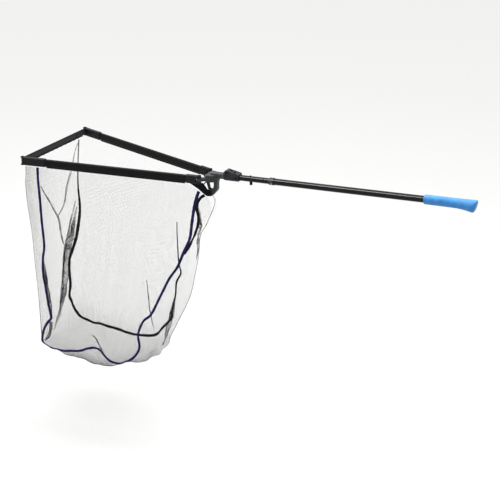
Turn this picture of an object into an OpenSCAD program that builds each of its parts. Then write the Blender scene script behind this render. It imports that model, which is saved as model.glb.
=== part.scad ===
// Folding landing net: a telescopic handle, a fold-over hub, two swinging arms
// joined by a webbing strap, and a deep net bag that hangs below them.
// The origin is the middle of the hand grip, on the axis of the pole.

/* [Handle] */
// Diameter of the outer pole
outer_pole_d = 20; // [18:0.5:24]
// Diameter of the inner pole
inner_pole_d = 18; // [16:0.5:18.4]
// Wall of both poles
pole_wall = 0.95; // [0.8:0.05:1.2]
// Length of the outer pole
outer_pole_l = 621; // [560:1:700]
// Length of the hand grip
grip_l = 151; // [120:1:180]
// Diameter of the hand grip
grip_d = 28; // [26:0.5:34]
// Angle by which the handle rises from the plane of the mouth
handle_rise = 4.7; // [0:0.1:8]
// Distance from the hub to the middle of the grip
hub_to_grip = 760; // [700:1:840]

/* [Head] */
// Length of an arm from its pivot to its tip
arm_l = 600; // [450:1:700]
// Height of the arm's section
arm_h = 24; // [18:0.5:28]
// Thickness of the arm's section
arm_t = 11; // [9:0.5:14]
// Wall of the arm's tube
arm_wall = 1.3; // [1:0.1:2]
// Angle between an arm and the handle when the net is open
splay = 13.3; // [10:0.1:16]
// Distance of an arm's pivot from the middle plane
pivot_y = 35; // [32:0.5:40]
// Height of the webbing strap across the front
strap_h = 21.6; // [16:0.1:21.8]

/* [Bag] */
// Depth of the bag below the arms
bag_depth = 695; // [500:5:800]
// Half the width of the bag's bottom at the front
bag_floor_w = 112; // [80:1:140]
// Thickness of the bag's panels
bag_t = 1.2; // [1:0.1:3]

/* [Hidden] */
$fn = 48;
run = 0.05;      // radial clearance of a running fit
gap = 0.3;       // clearance between pieces that move past each other
seat = 0.02;     // clearance of a glued or pressed seat
axis_lift = 11;  // height of the pole's axis above the mouth plane, at the hub
hub = [-hub_to_grip * cos(handle_rise), 0, -hub_to_grip * sin(handle_rise) - axis_lift];

outer_r = outer_pole_d / 2;
inner_r = inner_pole_d / 2;
bore_r = inner_r - pole_wall;

// Stations along the pole, measured from the hub
pole_end = 826;
outer_start = pole_end - outer_pole_l;
grip_end = hub_to_grip + grip_l / 2;
grip_start = hub_to_grip - grip_l / 2;
inner_start = 66.5;
inner_end = 808;
housing_start = 45;
housing_end = 98;
clip_at = 134;
latch_at = 79;
fold_at = [57, 15];  // fold pin, along the pole and above its axis
ear_r = 8.5;
lug_r = 7.5;
lug_t = 10;
fold_pin_r = 2.5;
shank_r = 7;

// Head
pivot_x = -28;
pivot_r = 3;
cap_h = arm_h + 3;
cap_t = arm_t + 3;
tongue_h = 9.8;
arm_start = 20;
arm_end = arm_l - 21;
tip_pin_at = arm_l - 7;
tip_pin_r = 2.5;
guard_t = 16;
front_x = pivot_x - tip_pin_at * cos(splay);
front_y = pivot_y + tip_pin_at * sin(splay);

// Bag: corners of the near half, as [x, y, z] from the hub
bag_top_z = -arm_h / 2 - 8.5;
bag_low_z = bag_top_z - bag_depth;
bag_front_top = [front_x, -front_y, bag_top_z];
bag_front_low = [front_x + 8, -bag_floor_w, bag_low_z + 20];
bag_mid_low = [front_x + 215, -bag_floor_w + 4, bag_low_z];
bag_heel_low = [-205, -80, bag_low_z + 70];
bag_rear_mid = [-62, -34, -365];
bag_rear_top = [-20, -20, -68];
bag_arm_end = [-62, -42, bag_top_z];

// ---- Places ----

// The hub's own frame: mouth plane at z = 0, arms towards -X
module on_hub() translate(hub) children();

// The pole's frame at a station s from the hub, X along the pole
module on_pole(s = 0) rotate([0, -handle_rise, 0]) translate([s - hub_to_grip, 0, 0]) children();

// A round bar along +X
module rod(r, l) rotate([0, 90, 0]) cylinder(r = r, h = l);

// A side view in X and Z, drawn in the middle plane with the given thickness
module side_plate(t) translate([0, t / 2, 0]) rotate([90, 0, 0]) linear_extrude(t) children();

// The near side as drawn, or its mirror image on the far side
module on_side(side) {
    if (side > 0) mirror([0, 1, 0]) children();
    else children();
}

// The frame of the near arm, or of the far arm: X from the pivot to the tip
module on_arm(side) on_hub() on_side(side)
    translate([pivot_x, -pivot_y, 0]) rotate([0, 0, 180 + splay]) children();

// ---- Shared shapes ----

module tube(r_out, r_in, l) difference() {
    rod(r_out, l);
    translate([-1, 0, 0]) rod(r_in, l + 2);
}

// A rectangle with round corners, w wide and h high
module round_rect(w, h, r) {
    square([w - 2 * r, h], center = true);
    square([w, h - 2 * r], center = true);
    for (x = [-1, 1], y = [-1, 1]) translate([x * (w / 2 - r), y * (h / 2 - r)]) circle(r);
}

// A bar of that section along +X
module round_bar(w, h, r, l) rotate([90, 0, 90]) linear_extrude(l) round_rect(w, h, r);

// A rivet on Z with a domed head at each end
module rivet(shank, head, l, dome) {
    cylinder(r = shank, h = l, center = true);
    for (side = [-1, 1]) translate([0, 0, side * (l / 2 - 0.01)]) rotate([side < 0 ? 180 : 0, 0, 0])
        rotate_extrude() intersection() {
            translate([0, dome - (head * head + dome * dome) / (2 * dome)])
                circle((head * head + dome * dome) / (2 * dome), $fn = 96);
            square([head, dome]);
        }
}

// ---- Handle ----

module outer_pole() color("#16171a") on_pole(outer_start)
    tube(outer_r, inner_r + run, outer_pole_l);

module pole_collar() color("#26272b") on_pole(outer_start) difference() {
    union() {
        translate([-5, 0, 0]) rod(outer_r + 1.4, 14);
        translate([-6.5, 0, 0]) rod(outer_r + 0.6, 3);
    }
    translate([0, 0, 0]) rod(outer_r + seat, 20);
    translate([-10, 0, 0]) rod(inner_r + run, 20);
    translate([3, 0, 0]) rotate([90 + 25, 0, 0]) cylinder(r = 1.5, h = 20);
}

module collar_rivet() color("#c9cbd0") on_pole(outer_start + 3) rotate([90 + 25, 0, 0]) {
    translate([0, 0, outer_r + 0.1]) cylinder(r = 1.46, h = 2.2);
    translate([0, 0, outer_r + 1.4]) cylinder(r1 = 2.4, r2 = 1.6, h = 1.1);
}

module grip() color("#4a9fe0") on_pole(grip_start) difference() {
    intersection() {
        union() {
            rotate([0, 90, 0]) rotate_extrude($fn = 96) polygon([
                [0, 0], [grip_d / 2 - 2, 0], [grip_d / 2 - 0.6, 0.8], [grip_d / 2, 3],
                [grip_d / 2, grip_l * 0.62], [grip_d / 2 + 1.6, grip_l - 14],
                [grip_d / 2 + 1.6, grip_l - 5], [grip_d / 2, grip_l - 1.5], [grip_d / 2 - 3, grip_l],
                [0, grip_l]]);
            translate([grip_l * 0.62, 0, 0]) rotate([0, 3.6, 0]) rod(grip_d / 2 - 0.2, grip_l);
        }
        translate([0, -50, -50]) cube([grip_l, 100, 100]);
    }
    translate([-1, 0, 0]) rod(outer_r + seat, pole_end - grip_start + 1.2);
}

module butt_plug() color("#1b1c1f") on_pole(pole_end - 12) rod(inner_r + run - seat, 11.9);

// ---- Shaft ----

module inner_pole() color("#111215") on_pole() difference() {
    translate([inner_start, 0, 0]) tube(inner_r, bore_r, inner_end - inner_start);
    translate([clip_at, 0, -20]) cylinder(r = 4.5, h = 20);
    translate([clip_at, 0, 0]) cylinder(r = 1.82, h = 20);
    translate([housing_end - 9, 0, 0]) rotate([90, 0, 0]) cylinder(r = 2.02, h = 40, center = true);
}

module inner_plug() color("#1b1c1f") on_pole(inner_end) {
    translate([-12, 0, 0]) rod(bore_r - seat, 12);
    rod(inner_r - seat, 3);
}

module snap_button() color("#232427") on_pole(clip_at) {
    translate([0, 0, -5.6]) cylinder(r = 5.4, h = 1.4);
    translate([0, 0, -16.5]) cylinder(r = 4.45, h = 11.5);
    translate([0, 0, -16.5]) intersection() {
        scale(1) sphere(4.45);
        translate([-5, -5, -2.4]) cube([10, 10, 2.5]);
    }
}

// A leaf of steel bent into a V: its lower leg pushes the button out
module clip_spring() color("#b9bcc2") on_pole(clip_at) side_plate(6) polygon([
    [-4, -4.1], [30, -4.1], [36, -2.5], [38.5, 1.5], [36, 5.6], [30, 7.3], [-4, 7.3],
    [-4, 6.5], [29.5, 6.5], [35, 4.8], [37.3, 1.5], [35, -1.8], [29.5, -3.3], [-4, -3.3]]);

module clip_rivet() color("#8f9298") on_pole(clip_at) {
    translate([0, 0, 7.4]) cylinder(r = 1.8, h = 2);
    translate([0, 0, inner_r + seat]) cylinder(r1 = 3.2, r2 = 1.8, h = 2.2);
}

module hinge_housing() color("#2b2d31") on_pole() difference() {
    union() {
        intersection() {
            side_plate(24) {
                polygon([[housing_start, -8], [housing_start + 5, -12], [housing_end - 4, -11],
                    [housing_end, -9], [housing_end, 11], [housing_end - 4, 13],
                    [fold_at[0] + 11, 19.5], [fold_at[0] - 4, fold_at[1] + 6], [housing_start, 10]]);
                translate(fold_at) circle(ear_r);
            }
            translate([housing_start - 1, 0, 6]) round_bar(24, 36.5, 9, 60);
        }
    }
    translate([inner_start - 0.5, 0, 0]) rod(inner_r + seat, 40);
    translate([housing_start - 1, -lug_t / 2 - gap, -14])
        cube([fold_at[0] + lug_r + 0.6 - housing_start + 1, lug_t + 2 * gap, 44]);
    // room behind the pin for the folded lug
    side_plate(lug_t + 2 * gap) translate(fold_at)
        polygon([[4, -4], [8, -3], [20, 8], [4, 8]]);
    translate([fold_at[0], 0, fold_at[1]]) rotate([90, 0, 0])
        cylinder(r = fold_pin_r + seat, h = 40, center = true);
    translate([latch_at, 0, 10]) cylinder(r = 5.05, h = 20);
    translate([housing_end - 9, 0, 0]) rotate([90, 0, 0]) cylinder(r = 2.02, h = 40, center = true);
}

module housing_rivet() color("#8f9298") on_pole(housing_end - 9) rotate([90, 0, 0])
    rivet(2, 3.6, 24.2, 1.2);

module fold_pin() color("#a9acb2") on_pole() translate([fold_at[0], 0, fold_at[1]]) rotate([90, 0, 0])
    rivet(fold_pin_r, 4.2, 24.2, 1.6);

module latch_button() color("#3a3c41") on_pole(latch_at) {
    translate([0, 0, 12.8]) cylinder(r = 5, h = 5.4);
    translate([0, 0, 18.2]) cylinder(r1 = 5, r2 = 4, h = 1.2);
}

// A disc spring under the latch button
module latch_spring() color("#b9bcc2") on_pole(latch_at) translate([0, 0, 10.02]) rotate_extrude()
    polygon([[2, 2], [2, 2.6], [4.6, 0.7], [4.6, 0]]);

// ---- Head ----

module hinge_knuckle() color("#2f3236") on_pole() difference() {
    union() {
        translate([2, 0, 0]) rod(shank_r - seat, 23);
        translate([24.1, 0, 0]) rod(10.5, 16.4);
        translate([40.4, 0, 0]) rod(9, 2.6);
        side_plate(lug_t) {
            polygon([[34, -8], [43, -8], [fold_at[0] + 1, 7.6], [fold_at[0] - 7, fold_at[1] + 2.5],
                [34, 8]]);
            translate(fold_at) circle(lug_r);
        }
    }
    translate([fold_at[0], 0, fold_at[1]]) rotate([90, 0, 0])
        cylinder(r = fold_pin_r + run, h = 40, center = true);
}

// A bright ring at the parting line of the fold
module knuckle_band() color("#9aa09f") on_pole(40.6) difference() {
    rod(10.9, 2.3);
    translate([-1, 0, 0]) rod(9.02, 5);
    translate([-1, -lug_t / 2 - seat, -20]) cube([5, lug_t + 2 * seat, 40]);
}

module guard_outline() polygon([
    [8, 0], [8, -10], [9, -20], [7, -29], [1, -37], [-6, -41], [-14, -43],
    [-14, -55], [-11, -58], [0, -58], [4, -56.5], [18, -39], [20, -34], [20, 0]]);

// The tongue that one arm's fork turns on
module yoke_tongue() {
    translate([pivot_x, -pivot_y, 0]) cylinder(r = 8, h = tongue_h, center = true);
    translate([0, 0, -tongue_h / 2]) linear_extrude(tongue_h)
        polygon([[pivot_x + 1, -pivot_y - 8], [pivot_x - 4, -pivot_y + 7], [-8, -10], [-4, -24], [-14, -29]]);
}

module yoke() color("#3c4241") on_hub() difference() {
    union() {
        translate([0, 0, -7]) linear_extrude(21) {
            polygon([[-15, -20], [-9, -26], [8, -22], [18, -14], [22, -8],
                [22, 8], [18, 14], [8, 22], [-9, 26], [-15, 20]]);
        }
        for (side = [-1, 1]) on_side(side) {
            yoke_tongue();
            translate([-10, -12, -5]) rotate([0, 0, 217]) rotate([0, 138, 0]) translate([0, 0, 1])
                cylinder(r = 1.8, h = 17);
        }
        side_plate(guard_t) guard_outline();
        translate([0, 0, axis_lift]) rotate([0, -handle_rise, 0]) rod(10.6, 24);
    }
    translate([0, 0, axis_lift]) rotate([0, -handle_rise, 0]) rod(shank_r, 40);
    for (side = [-1, 1]) translate([pivot_x, side * pivot_y, 0])
        cylinder(r = pivot_r + seat, h = 40, center = true);
    translate([-6, 0, -49]) rotate([90, 0, 0]) cylinder(r = 2.02, h = 40, center = true);
}

module pivot_rivet(side) color("#9a9da3") on_arm(side)
    rivet(pivot_r, 5.5, cap_h + 2 * gap, 1.6);

// The moulded fork on an arm's rear end
module arm_cap(side) color("#1d1f22") on_arm(side) difference() {
    union() {
        translate([0, 0, -cap_h / 2]) cylinder(r = cap_t / 2, h = cap_h);
        round_bar(cap_t, cap_h, 3, 40);
    }
    translate([arm_start, 0, 0]) round_bar(arm_t + 2 * seat, arm_h + 2 * seat, 4, 40);
    translate([-20, -20, -tongue_h / 2 - gap]) cube([31, 40, tongue_h + 2 * gap]);
    cylinder(r = pivot_r + run, h = 60, center = true);
}

// A flattened aluminium tube
module arm(side) color("#101114") on_arm(side) translate([arm_start, 0, 0]) difference() {
    round_bar(arm_t, arm_h, 4, arm_end - arm_start);
    translate([-1, 0, 0])
        round_bar(arm_t - 2 * arm_wall, arm_h - 2 * arm_wall, 4 - arm_wall, arm_end - arm_start + 2);
}

// The moulded sleeve on an arm's tip, which holds the strap's pin
module tip(side) color("#222327") on_arm(side) difference() {
    union() {
        translate([arm_l - 86, 0, 0]) round_bar(cap_t, cap_h, 3, 79);
        translate([tip_pin_at, 0, -cap_h / 2]) cylinder(r = cap_t / 2, h = cap_h);
    }
    translate([arm_l - 90, 0, 0]) round_bar(arm_t + 2 * seat, arm_h + 2 * seat, 4, arm_end - arm_l + 90);
    translate([tip_pin_at - 7.6, -20, -strap_h / 2 - gap]) cube([30, 40, strap_h + 2 * gap]);
    translate([tip_pin_at, 0, 0]) cylinder(r = tip_pin_r + seat, h = 60, center = true);
}

module tip_pin(side) color("#2d2e31") on_arm(side) translate([tip_pin_at, 0, 0])
    rivet(tip_pin_r, 4, cap_h + 0.1, 2.4);

// The welt below an arm that the net is laced to
module hem(side) color("#131316") on_arm(side) translate([44, -1.6, -arm_h / 2 - 5.6])
    cube([arm_l - 86 - 46, 3.2, 5.56]);

module front_strap() color("#383a3d") on_hub() difference() {
    union() {
        translate([front_x - 1.6, -front_y, -strap_h / 2]) cube([3.2, 2 * front_y, strap_h]);
        for (side = [-1, 1]) translate([front_x, side * front_y, -strap_h / 2])
            cylinder(r = 5.2, h = strap_h);
    }
    for (side = [-1, 1]) translate([front_x, side * front_y, 0])
        cylinder(r = tip_pin_r + gap, h = 40, center = true);
}

// The webbing that carries the net's rear edge from each arm to the guard's foot
module rear_band() color("#15161f") on_hub() difference() {
    for (side = [-1, 1]) on_side(side) {
        hull() for (p = [[-55, -42, -15.4], [-24, -18.6, -15.4], [-11, -9.5, -38.5], [-15, -12, -58]])
            translate(p) cube(2, center = true);
        translate([-12, -10.4, -58]) cube([13, 2, 20]);
    }
    translate([-6, 0, -49]) rotate([90, 0, 0]) cylinder(r = 2.1, h = 40, center = true);
}

module foot_rivet() color("#8f9298") on_hub() translate([-6, 0, -49]) rotate([90, 0, 0])
    rivet(2, 4, 2 * 10.45, 1.3);

// ---- Bag ----

// The same corner on the far side
function far(p) = [p[0], -p[1], p[2]];

function middle(points) = [for (axis = [0:2]) [for (p = points) p[axis]] * [for (p = points) 1 / len(points)]];

// A flat panel between its corners, drawn in by a few millimetres from its seams
module panel(corners) {
    mid = middle(corners);
    hull() for (p = corners)
        translate(p + 4 * (mid - p) / norm(mid - p)) cube(bag_t, center = true);
}

module net_colour() color([0.25, 0.25, 0.27, 0.5]) on_hub() children();

module bag_front() net_colour()
    panel([bag_front_top, far(bag_front_top), far(bag_front_low), bag_front_low]);

module bag_side(side) net_colour() on_side(side) {
    panel([bag_front_top, bag_front_low, bag_mid_low]);
    panel([bag_front_top, bag_mid_low, bag_heel_low]);
    panel([bag_front_top, bag_heel_low, bag_rear_mid]);
    panel([bag_front_top, bag_rear_mid, bag_arm_end]);
}

module bag_rear() net_colour() {
    panel([bag_rear_top, far(bag_rear_top), far(bag_rear_mid), bag_rear_mid]);
    panel([bag_rear_mid, far(bag_rear_mid), far(bag_heel_low), bag_heel_low]);
}

module bag_floor() net_colour() {
    panel([bag_front_low, far(bag_front_low), far(bag_mid_low), bag_mid_low]);
    panel([bag_mid_low, far(bag_mid_low), far(bag_heel_low), bag_heel_low]);
}

outer_pole();
pole_collar();
collar_rivet();
grip();
butt_plug();
inner_pole();
inner_plug();
snap_button();
clip_spring();
clip_rivet();
hinge_housing();
housing_rivet();
fold_pin();
latch_button();
latch_spring();
hinge_knuckle();
knuckle_band();
yoke();
pivot_rivet(-1);  // near_pivot_rivet
pivot_rivet(1);  // far_pivot_rivet
arm_cap(-1);  // near_arm_cap
arm_cap(1);  // far_arm_cap
arm(-1);  // near_arm
arm(1);  // far_arm
tip(-1);  // near_tip
tip(1);  // far_tip
tip_pin(-1);  // near_tip_pin
tip_pin(1);  // far_tip_pin
hem(-1);  // near_hem
hem(1);  // far_hem
front_strap();
rear_band();
foot_rivet();
bag_front();
bag_side(-1);  // bag_near
bag_side(1);  // bag_far
bag_rear();
bag_floor();
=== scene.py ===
"""A folding landing net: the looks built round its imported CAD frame.

All lengths are metres in the row frame. Points of the head are written in
millimetres from the middle of the hub, as the CAD source has them.
"""

import logging
import math
from dataclasses import dataclass
from enum import Enum
from itertools import combinations

import bpy
import numpy as np
from bpy.types import Material, Node, NodeSocket, NodeTree, Object
from mathutils import Matrix, Vector
from mathutils.bvhtree import BVHTree


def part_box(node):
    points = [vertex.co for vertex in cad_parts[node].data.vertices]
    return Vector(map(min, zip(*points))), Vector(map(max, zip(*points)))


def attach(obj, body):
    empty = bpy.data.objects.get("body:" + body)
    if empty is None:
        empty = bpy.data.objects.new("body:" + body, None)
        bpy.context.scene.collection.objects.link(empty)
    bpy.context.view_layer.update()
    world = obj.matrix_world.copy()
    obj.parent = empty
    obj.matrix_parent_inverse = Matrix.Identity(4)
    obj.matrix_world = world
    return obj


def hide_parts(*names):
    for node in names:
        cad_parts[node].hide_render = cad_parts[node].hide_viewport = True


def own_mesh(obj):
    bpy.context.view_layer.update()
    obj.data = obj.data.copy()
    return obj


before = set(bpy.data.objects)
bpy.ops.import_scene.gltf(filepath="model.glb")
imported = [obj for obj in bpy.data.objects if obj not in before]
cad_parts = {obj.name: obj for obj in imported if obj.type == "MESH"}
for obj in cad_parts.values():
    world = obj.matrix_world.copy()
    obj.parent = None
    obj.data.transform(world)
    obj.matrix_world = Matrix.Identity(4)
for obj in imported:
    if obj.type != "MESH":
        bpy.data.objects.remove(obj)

LOG = logging.getLogger("landing_net")
MM = 0.001
HUB = np.array([-0.757444, 0.0, -0.073273])  # the middle of the hub, in the row frame
POLE = np.array([0.996637, 0.0, 0.081939])  # along the pole, towards the grip
POLE_UP = np.array([-0.081939, 0.0, 0.996637])  # square to the pole, upwards
GRIP_STATION = 760.0  # how far along the pole from the hub the row's origin is
SPLAY = math.radians(13.3)  # how far each arm stands out from the middle

Points = np.ndarray


def hub_points(points: tuple | Points) -> Points:
    """Millimetres from the hub to metres in the row frame.

    Args:
        points: x, y, z rows in millimetres.

    Returns:
        The same points as an array in metres.
    """
    return np.asarray(points, float) * MM + HUB


def pole_point(station: float, side: float, height: float) -> Points:
    """A point by the pole.

    Args:
        station: millimetres along the pole from the hub.
        side: millimetres across, positive on the far side.
        height: millimetres above the pole's axis.

    Returns:
        The point in metres in the row frame.
    """
    along = POLE * (station - GRIP_STATION) + POLE_UP * height
    return (along + np.array([0.0, side, 0.0])) * MM


def linear(code: str) -> tuple[float, float, float, float]:
    """An sRGB hex colour as linear values with full alpha.

    Args:
        code: six hex digits, with or without the hash.

    Returns:
        Red, green, blue and alpha for a shader socket.
    """
    digits = code.lstrip("#")
    values = [int(digits[i : i + 2], 16) / 255 for i in (0, 2, 4)]
    red, green, blue = (
        v / 12.92 if v <= 0.04045 else ((v + 0.055) / 1.055) ** 2.4 for v in values
    )
    return red, green, blue, 1.0


class Side(Enum):
    """The two sides of the head, by the sign of y."""

    NEAR = -1
    FAR = 1

    @property
    def label(self) -> str:
        """The word that this side's names start with."""
        return self.name.lower()

    @property
    def body(self) -> str:
        """The CAD body that this side's arm belongs to."""
        return f"{self.label}_side"


class Slot(str, Enum):
    """The record's material slots."""

    POLE = "pole_black"
    COLLAR = "collar_plastic"
    STEEL = "steel"
    GRIP = "grip_foam"
    HUB = "hub_plastic"
    BAND = "band_metal"
    ARM = "arm_black"
    CAP = "cap_plastic"
    WEBBING = "webbing"
    RIM = "rim_tape"
    NET = "net_mesh"


# ---------------------------------------------------------------- finishes


def add(tree: NodeTree, kind: str, links: dict | None = None, **settings: object) -> Node:
    """Adds a shader node with its settings and links.

    Args:
        tree: the material's or world's node tree.
        kind: the node's type, without its ShaderNode prefix.
        links: socket name or number to a node (its first output), an output or a plain value.
        **settings: the node's own properties.

    Returns:
        The new node.
    """
    node = tree.nodes.new(f"ShaderNode{kind}")
    for name, value in settings.items():
        setattr(node, name, value)
    for name, value in (links or {}).items():
        source = value.outputs[0] if isinstance(value, Node) else value
        if isinstance(source, NodeSocket):
            tree.links.new(source, node.inputs[name])
        else:
            node.inputs[name].default_value = source
    return node


@dataclass(frozen=True)
class Finish:
    """A material with one principled shader, varied by each kind's pattern.

    Colours are sRGB hex codes: the plain one and the one that it varies to.
    """

    name: str
    colour: str
    shade: str
    roughness: float
    metallic: float = 0.0
    specular: float = 0.5
    sheen: float = 0.0
    sheen_roughness: float = 0.45

    def material(self) -> Material:
        """The finish as a Blender material, made once and shared."""
        found = bpy.data.materials.get(self.name)
        if found:
            return found
        made = bpy.data.materials.new(self.name)
        made.use_nodes = True
        tree = made.node_tree
        tree.nodes.clear()
        shader = add(tree, "BsdfPrincipled", {
            "Base Color": linear(self.colour), "Roughness": self.roughness,
            "Metallic": self.metallic, "Specular IOR Level": self.specular,
            "Sheen Weight": self.sheen, "Sheen Roughness": self.sheen_roughness,
        })  # fmt: skip
        add(tree, "OutputMaterial", {"Surface": shader})
        self.pattern(tree, shader)
        return made

    def pattern(self, tree: NodeTree, shader: Node) -> None:
        """Adds the finish's own pattern to the shader."""

    def mottle(self, tree: NodeTree, shader: Node, factor: Node, spread: float) -> None:
        """Varies colour and roughness together by one pattern.

        Args:
            tree: the material's node tree.
            shader: the principled node.
            factor: the pattern, from 0 to 1.
            spread: how far the roughness moves either way.
        """
        mix = add(tree, "Mix", {0: factor, 6: linear(self.colour), 7: linear(self.shade)}, data_type="RGBA")
        smooth, rough = max(0.02, self.roughness - spread), min(1.0, self.roughness + spread)
        grade = add(tree, "MapRange", {"Value": factor, "To Min": smooth, "To Max": rough})
        tree.links.new(mix.outputs[2], shader.inputs["Base Color"])
        tree.links.new(grade.outputs[0], shader.inputs["Roughness"])

    def emboss(self, tree: NodeTree, shader: Node, height: Node, strength: float, depth: float) -> None:
        """Raises a pattern on the surface.

        Args:
            tree: the material's node tree.
            shader: the principled node.
            height: the pattern.
            strength: how much of the bump shows.
            depth: the pattern's real depth in millimetres.
        """
        bump = add(tree, "Bump", {"Height": height, "Strength": strength, "Distance": depth * MM})
        tree.links.new(bump.outputs[0], shader.inputs["Normal"])


@dataclass(frozen=True)
class DrawnAluminium(Finish):
    """Aluminium drawn through a die, with fine lines along its length.

    turn is the length's angle about z and lift its slope, in radians. The
    sizes are in millimetres: a line's width and length, and a patch of tone.
    """

    turn: float = 0.0
    lift: float = 0.0
    line: float = 1.1  # a real line is 0.2 mm; drawn as coarse as it needs to show
    line_run: float = 66.0
    patch: float = 35.71

    def pattern(self, tree: NodeTree, shader: Node) -> None:
        """Lines along the tube, and a slow drift of tone under them."""
        place = add(tree, "TexCoord").outputs["Object"]
        level = add(tree, "Mapping", {"Vector": place, "Rotation": (0.0, self.lift, -self.turn)})
        along, across = 1 / (self.line_run * MM), 1 / (self.line * MM)
        stretch = add(tree, "Mapping", {"Vector": level, "Scale": (along, across, across)})
        lines = add(tree, "TexNoise", {"Vector": stretch, "Scale": 1.0, "Detail": 3.0, "Roughness": 0.6})
        drift = add(tree, "TexNoise", {"Vector": place, "Scale": 1 / (self.patch * MM), "Detail": 3.0})
        both = add(tree, "Math", {0: lines, 1: drift}, operation="MULTIPLY")
        tone = add(tree, "MapRange", {"Value": both, "From Min": 0.1, "From Max": 0.42})
        self.mottle(tree, shader, tone, spread=0.08)
        self.emboss(tree, shader, lines, strength=0.12, depth=0.15)


@dataclass(frozen=True)
class MouldedNylon(Finish):
    """Glass-filled nylon, injection moulded against a spark-eroded steel wall.

    The sizes are in millimetres: a pit of the skin and a cloud of its tone.
    """

    grain: float = 0.9  # spark erosion leaves 0.1 mm pits; drawn coarser to show
    cloud: float = 9.09

    def pattern(self, tree: NodeTree, shader: Node) -> None:
        """Fine pits, and the cloudy tone that glass fibre leaves."""
        place = add(tree, "TexCoord").outputs["Object"]
        pits = add(tree, "TexNoise", {"Vector": place, "Scale": 1 / (self.grain * MM), "Detail": 2.0})
        cloud = add(tree, "TexNoise", {"Vector": place, "Scale": 1 / (self.cloud * MM), "Detail": 4.0})
        tone = add(tree, "MapRange", {"Value": cloud, "From Min": 0.32, "From Max": 0.68})
        self.mottle(tree, shader, tone, spread=0.07)
        self.emboss(tree, shader, pits, strength=0.25, depth=0.25)


@dataclass(frozen=True)
class TurnedSteel(Finish):
    """Stainless steel, turned and tumbled, for pins, rivets and springs."""

    mark: float = 1.111  # a tumbling mark is 0.3 mm; drawn coarser to show

    def pattern(self, tree: NodeTree, shader: Node) -> None:
        """Small tumbling marks in the polish."""
        place = add(tree, "TexCoord").outputs["Object"]
        marks = add(tree, "TexNoise", {"Vector": place, "Scale": 1 / (self.mark * MM), "Detail": 3.0})
        self.mottle(tree, shader, marks, spread=0.12)
        self.emboss(tree, shader, marks, strength=0.1, depth=0.1)


@dataclass(frozen=True)
class CellFoam(Finish):
    """Closed-cell EVA foam, ground to shape: a soft skin of tiny open pores.

    The sizes are in millimetres: a pore and a cloud of handling.
    """

    pore: float = 0.8
    cloud: float = 18.18

    def pattern(self, tree: NodeTree, shader: Node) -> None:
        """Pores, and a cloudy fade where the grip is handled."""
        place = add(tree, "TexCoord").outputs["Object"]
        pores = add(tree, "TexVoronoi", {"Vector": place, "Scale": 1 / (self.pore * MM)})
        cloud = add(tree, "TexNoise", {"Vector": place, "Scale": 1 / (self.cloud * MM), "Detail": 5.0})
        tone = add(tree, "MapRange", {"Value": cloud, "From Min": 0.3, "From Max": 0.7})
        self.mottle(tree, shader, tone, spread=0.05)
        self.emboss(tree, shader, pores, strength=0.35, depth=0.3)


@dataclass(frozen=True)
class Woven(Finish):
    """Woven webbing or tape. Its UV map runs in metres, length first.

    The sizes are in millimetres: the spacing of the threads that run along it
    and of those across it, how deep they lie, and a patch of dust.
    """

    warp: float = 1.5
    weft: float = 1.2
    depth: float = 0.35
    dust: float = 5.882

    def pattern(self, tree: NodeTree, shader: Node) -> None:
        """Threads over and under each other, the raised threads painted lighter and the hollows between them
        painted darker as highlight and shade, with random patches of dust.
        """
        place = add(tree, "TexCoord").outputs["UV"]
        parts = add(tree, "SeparateXYZ", {0: place})
        waves = []
        for axis, pitch in (("X", self.weft), ("Y", self.warp)):
            turns = {0: parts.outputs[axis], 1: math.pi / (pitch * MM)}
            angle = add(tree, "Math", turns, operation="MULTIPLY")
            waves.append(add(tree, "Math", {0: angle}, operation="SINE"))
        over = add(tree, "Math", {0: waves[0], 1: waves[1]}, operation="MULTIPLY")
        height = add(tree, "MapRange", {"Value": over, "From Min": -1.0, "From Max": 1.0})
        dust = add(tree, "TexNoise", {"Vector": place, "Scale": 1 / (self.dust * MM), "Detail": 4.0})
        # painted highlight and shade: the tone follows the threads' height, lighter on top and darker in the
        # hollows, plus random dust
        painted_shade_and_dust = add(tree, "Math", {0: height, 1: 0.45, 2: dust}, operation="MULTIPLY_ADD")
        tone = add(tree, "MapRange", {"Value": painted_shade_and_dust, "From Min": 0.45, "From Max": 1.0})
        self.mottle(tree, shader, tone, spread=0.06)
        self.emboss(tree, shader, height, strength=0.5, depth=self.depth)


@dataclass(frozen=True)
class KnotlessNet(Finish):
    """Knotless nylon netting: thin threads in square cells, open between.

    The UV map runs in metres on the flat cloth. The point attribute
    "gather" says how many times closer than flat the threads stand. The
    sizes are in millimetres; the threads sway a little about their lines.
    """

    cell: float = 4.6  # drawn half as coarse again as the real cell so it shows
    thread: float = 0.21
    sway: float = 3.0
    sway_run: float = 25.0

    def pattern(self, tree: NodeTree, shader: Node) -> None:
        """Threads both ways, thicker where the cloth is gathered."""
        place = add(tree, "TexCoord").outputs["UV"]
        sway = add(tree, "TexNoise", {"Vector": place, "Scale": 1 / (self.sway_run * MM), "Detail": 2.0})
        reach = {0: sway.outputs["Color"], 1: (self.sway * MM,) * 3}
        shift = add(tree, "VectorMath", reach, operation="MULTIPLY")
        moved = add(tree, "VectorMath", {0: place, 1: shift}, operation="ADD")
        parts = add(tree, "SeparateXYZ", {0: moved})
        gather = add(tree, "Attribute", attribute_name="gather", attribute_type="GEOMETRY").outputs["Fac"]
        half = add(tree, "Math", {0: gather, 1: self.thread / self.cell / 2}, operation="MULTIPLY")
        inside = []
        for axis in ("X", "Y"):
            line = {0: parts.outputs[axis], 1: self.cell * MM / 2}
            away = {0: add(tree, "Math", line, operation="PINGPONG"), 1: self.cell * MM}
            share = add(tree, "Math", away, operation="DIVIDE")
            inside.append(add(tree, "Math", {0: share, 1: half}, operation="LESS_THAN"))
        alpha = add(tree, "Math", {0: inside[0], 1: inside[1]}, operation="MAXIMUM")
        tree.links.new(alpha.outputs[0], shader.inputs["Alpha"])
        self.mottle(tree, shader, sway, spread=0.1)


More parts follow.
